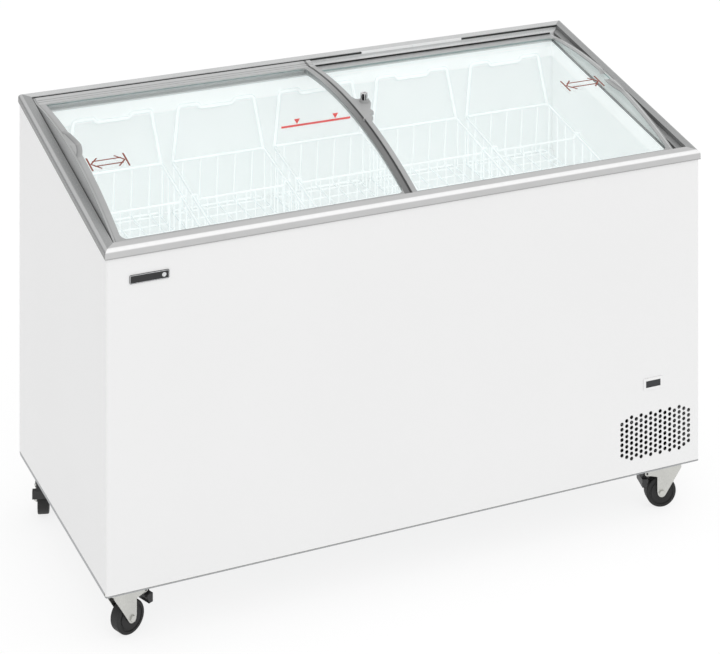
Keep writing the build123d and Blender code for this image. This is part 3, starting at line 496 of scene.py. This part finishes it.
def basket_mesh(cx):
    bm = bmesh.new()
    w = 0.1055
    yf, yr = -0.2635, 0.2485
    ring = [(cx - w, yf, rim(yf)), (cx + w, yf, rim(yf)), (cx + w, yr, rim(yr)), (cx - w, yr, rim(yr))]
    tube(bm, fillet_path(ring, 0.010, True), 0.0030, True, 10)
    low = [(cx - w + 0.003, -0.2605, flr(-0.26)), (cx + w - 0.003, -0.2605, flr(-0.26)),
           (cx + w - 0.003, 0.2610, flr(0.261)), (cx - w + 0.003, 0.2610, flr(0.261))]
    tube(bm, fillet_path(low, 0.008, True), 0.0022, True, 8)
    r = 0.0017
    for k in range(13):                                  # wires across: rim, side, floor, side, rim
        y = -0.240 + 0.040 * k
        if y > 0.245:
            break
        p = [(cx - w + 0.0012, y, rim(y)), (cx - w + 0.0012, y, flr(y) + 0.001), (cx + w - 0.0012, y, flr(y) + 0.001), (cx + w - 0.0012, y, rim(y))]
        tube(bm, fillet_path(p, 0.006), r, False, 6)
    for k in range(5):                                   # wires front to rear
        x = cx - 0.080 + 0.040 * k
        p = [(x, yf + 0.001, rim(yf)), (x, yf + 0.002, flr(yf) + 0.0042), (x, 0.2615, flr(0.2615) + 0.0042), (x, yr + 0.0008, rim(yr))]
        tube(bm, fillet_path(p, 0.006), r, False, 6)
    # rear hanging loop with a finger dip
    def lp(u, s):
        return (cx + u, 0.249 + 0.1214 * s, G + 0.594 + 0.9926 * s)
    loop = [lp(-0.104, 0.0), lp(-0.0865, 0.1135), lp(-0.043, 0.1135), lp(-0.037, 0.1050), lp(0.037, 0.1050), lp(0.043, 0.1135), lp(0.0865, 0.1135), lp(0.104, 0.0)]
    tube(bm, fillet_path(loop, 0.010, False, 6), 0.0042, False, 12)
    return to_mesh(bm, "basket_wire")


def divider_mesh(cx):
    bm = bmesh.new()
    y = 0.105
    z0, z1 = G + 0.4925, G + 0.5605
    for k in range(10):
        x = cx - 0.09675 + 0.0215 * k
        tube(bm, fillet_path([(x, y, z0), (x, y, z1)], 0.01), 0.0014, False, 6)
    tube(bm, fillet_path([(cx - 0.1005, y, z0), (cx + 0.1005, y, z0)], 0.01), 0.0018, False, 8)
    top = [(cx - 0.1115, y, G + 0.5665), (cx - 0.1115, y, G + 0.5712), (cx - 0.0985, y, G + 0.5712), (cx - 0.0985, y, z1), (cx + 0.0985, y, z1),
           (cx + 0.0985, y, G + 0.5712), (cx + 0.1115, y, G + 0.5712), (cx + 0.1115, y, G + 0.5665)]
    tube(bm, fillet_path(top, 0.004, False, 4), 0.0021, False, 8)
    return to_mesh(bm, "divider_wire")


for i in range(1, 6):
    lo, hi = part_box(f"basket_{i}")
    cx = (lo.x + hi.x) / 2
    b = put(f"wire_basket_{i}", basket_mesh(cx), M["wire"], f"basket_{i}")
    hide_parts(f"basket_{i}")
    d = put(f"wire_divider_{i}", divider_mesh(cx), M["wire"], f"divider_{i}")
    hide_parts(f"divider_{i}")


# ------------------------------------------------------------------ printed marks
def strip_on(zf, x0, x1, y0, y1, off, th, bm):
    """Thin printed patch that follows the glass."""
    ny = max(1, int(abs(y1 - y0) / 0.01))
    ys = [y0 + (y1 - y0) * i / ny for i in range(ny + 1)]
    top = [[bm.verts.new((x, y, zf(y) + off + th)) for x in (x0, x1)] for y in ys]
    bot = [[bm.verts.new((x, y, zf(y) + off)) for x in (x0, x1)] for y in ys]
    for i in range(ny):
        bm.faces.new((top[i][0], top[i][1], top[i + 1][1], top[i + 1][0]))
        bm.faces.new((bot[i][0], bot[i + 1][0], bot[i + 1][1], bot[i][1]))
        bm.faces.new((top[i][0], top[i + 1][0], bot[i + 1][0], bot[i][0]))
        bm.faces.new((top[i][1], bot[i][1], bot[i + 1][1], top[i + 1][1]))
    bm.faces.new((top[0][0], bot[0][0], bot[0][1], top[0][1]))
    bm.faces.new((top[-1][0], top[-1][1], bot[-1][1], bot[-1][0]))


def head_on(zf, tip, base, y, half, off, th, bm):
    poly = [(tip, y), (base, y - half), (base, y + half)]
    if tip > base:
        poly = [(tip, y), (base, y + half), (base, y - half)]
    prism(bm, poly, lambda u, v, s: (u, v, zf(v) + off + th * s))


def arrows(name, zf, xa, xb, y0, y1, body):
    bm = bmesh.new()
    off, th = -0.0029, 0.0004
    for x in (xa, xb):
        strip_on(zf, x - 0.0017, x + 0.0017, y0, y1, off, th, bm)
    ym = (y0 + y1) / 2
    for dy in (-0.009, 0.009):
        strip_on(zf, xa + 0.008, xb - 0.008, ym + dy - 0.0015, ym + dy + 0.0015, off, th, bm)
    for tip, s in ((xa + 0.003, 1), (xb - 0.003, -1)):
        for sy in (-1, 1):
            a = Vector((tip, ym)); b = Vector((tip + s * 0.017, ym + sy * 0.019))
            d = (b - a).normalized(); q = Vector((-d.y, d.x)) * 0.0015
            poly = [a - q, a + q, b + q, b - q]
            prism(bm, [(p.x, p.y) for p in poly], lambda u, v, s_: (u, v, zf(v) + off + th * s_))
    ob = put(name, to_mesh(bm, name), M["brown"], body, False)
    return ob


arrows("slide_mark_left", zU, -0.606, -0.530, -0.080, -0.033, "upper_lid")
arrows("slide_mark_right", zL, 0.493, 0.578, -0.032, 0.014, "lower_lid")

bm = bmesh.new()
zl, yl = G + 0.625, 0.2678
prism(bm, [(-0.070, zl - 0.0021), (0.095, zl - 0.0021), (0.095, zl + 0.0021), (-0.070, zl + 0.0021)], lambda u, v, s: (u, yl - 0.0006 * s, v))
for x in (-0.033, 0.059):
    prism(bm, [(x, zl + 0.0035), (x + 0.0068, zl + 0.0145), (x - 0.0068, zl + 0.0145)], lambda u, v, s: (u, yl - 0.0006 * s, v))
ob = put("load_line", to_mesh(bm, "load_line"), M["red"], "cabinet", False)

# ------------------------------------------------------------------ plain trim on the blank badge
lo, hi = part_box("badge_plate")
bm = bmesh.new()
x0, x1, z0, z1 = lo.x + 0.0012, hi.x - 0.0012, lo.z + 0.0012, hi.z - 0.0012
ring = [(x0, lo.y - 0.0001, z0), (x1, lo.y - 0.0001, z0), (x1, lo.y - 0.0001, z1), (x0, lo.y - 0.0001, z1)]
tube(bm, fillet_path(ring, 0.0022, True), 0.00055, True, 6)
cxb, czb = hi.x - 0.0105, (lo.z + hi.z) / 2
prism(bm, [(cxb + 0.0042 * math.cos(a * math.pi / 14), czb + 0.0042 * math.sin(a * math.pi / 14)) for a in range(28)],
      lambda u, v, s_: (u, lo.y + 0.0001 - 0.0005 * s_, v))
ob = put("badge_trim", to_mesh(bm, "badge_trim"), M["silver"], "cabinet")

# ------------------------------------------------------------------ stop pin in the stile channel
bm = bmesh.new()
yp = -0.049
zp = zU(yp)
tube(bm, fillet_path([(-0.0100, yp - 0.006, zp - 0.0012), (-0.0095, yp - 0.003, zp + 0.0022), (-0.0060, yp + 0.004, zp + 0.0022), (-0.0052, yp + 0.007, zp - 0.0012)], 0.002), 0.0013, False, 8)
ob = put("stile_clip", to_mesh(bm, "stile_clip"), M["chrome"], "upper_lid")

# ------------------------------------------------------------------ floor, light, world, camera
bm = bmesh.new()
bmesh.ops.create_grid(bm, x_segments=8, y_segments=8, size=40.0)
fl = bpy.data.objects.new("floor", to_mesh(bm, "floor"))
fl.location.z = -0.0005
bpy.context.scene.collection.objects.link(fl)
n = Nodes("floor_pale")
df = n.new("ShaderNodeBsdfDiffuse")
df.inputs[0].default_value = (0.22, 0.22, 0.22, 1)
em = n.new("ShaderNodeEmission")
em.inputs[0].default_value = (1, 1, 1, 1)
em.inputs[1].default_value = 0.80
ad = n.new("ShaderNodeAddShader")
n.link(df.outputs[0], ad.inputs[0])
n.link(em.outputs[0], ad.inputs[1])
fl.data.materials.append(n.done(ad.outputs[0]))

w = bpy.data.worlds.new("studio")
bpy.context.scene.world = w
w.use_nodes = True
t = w.node_tree
t.nodes.clear()
out = t.nodes.new("ShaderNodeOutputWorld")
bg = t.nodes.new("ShaderNodeBackground")
tc = t.nodes.new("ShaderNodeTexCoord")
dot = t.nodes.new("ShaderNodeVectorMath"); dot.operation = "DOT_PRODUCT"
dot.inputs[1].default_value = (0.11, -0.16, 0.16)
t.links.new(tc.outputs["Generated"], dot.inputs[0])
add = t.nodes.new("ShaderNodeMath"); add.operation = "ADD"
t.links.new(dot.outputs["Value"], add.inputs[0])
add.inputs[1].default_value = 0.84
t.links.new(add.outputs[0], bg.inputs["Strength"])
bg.inputs["Color"].default_value = (1, 1, 1, 1)
t.links.new(bg.outputs[0], out.inputs["Surface"])


def area(name, loc, target, size, power):
    la = bpy.data.lights.new(name, "AREA")
    la.shape = "RECTANGLE"
    la.size, la.size_y = size
    la.energy = power
    ob = bpy.data.objects.new(name, la)
    bpy.context.scene.collection.objects.link(ob)
    ob.location = loc
    ob.rotation_euler = (Vector(target) - Vector(loc)).to_track_quat("-Z", "Y").to_euler()
    return ob


area("key", (-1.2, -3.6, 3.6), (0, 0, 0.6), (2.6, 1.8), 10.0)

cam_data = bpy.data.cameras.new("camera")
cam = bpy.data.objects.new("camera", cam_data)
bpy.context.scene.collection.objects.link(cam)
cam.location = (-1.93006, -4.48333, 2.36274 + G)
cam.rotation_euler = (math.radians(90), 0, math.radians(-24.383))
cam_data.sensor_width = 36.0
cam_data.lens = 115.142
cam_data.clip_end = 200.0
for prop, val in (("shift_x", -0.05857), ("shift_y", -1.36765)):
    fc = cam_data.driver_add(prop)
    fc.driver.type = "SCRIPTED"
    v = fc.driver.variables.new()
    v.name = "z"
    v.type = "TRANSFORMS"
    v.targets[0].id = cam
    v.targets[0].transform_type = "LOC_Z"
    v.targets[0].transform_space = "WORLD_SPACE"
    fc.driver.expression = f"{val} if abs(z - {cam.location.z:.5f}) < 0.0005 else 0"
bpy.context.scene.camera = cam
bpy.context.scene.view_settings.view_transform = "Standard"
bpy.context.scene.view_settings.look = "None"
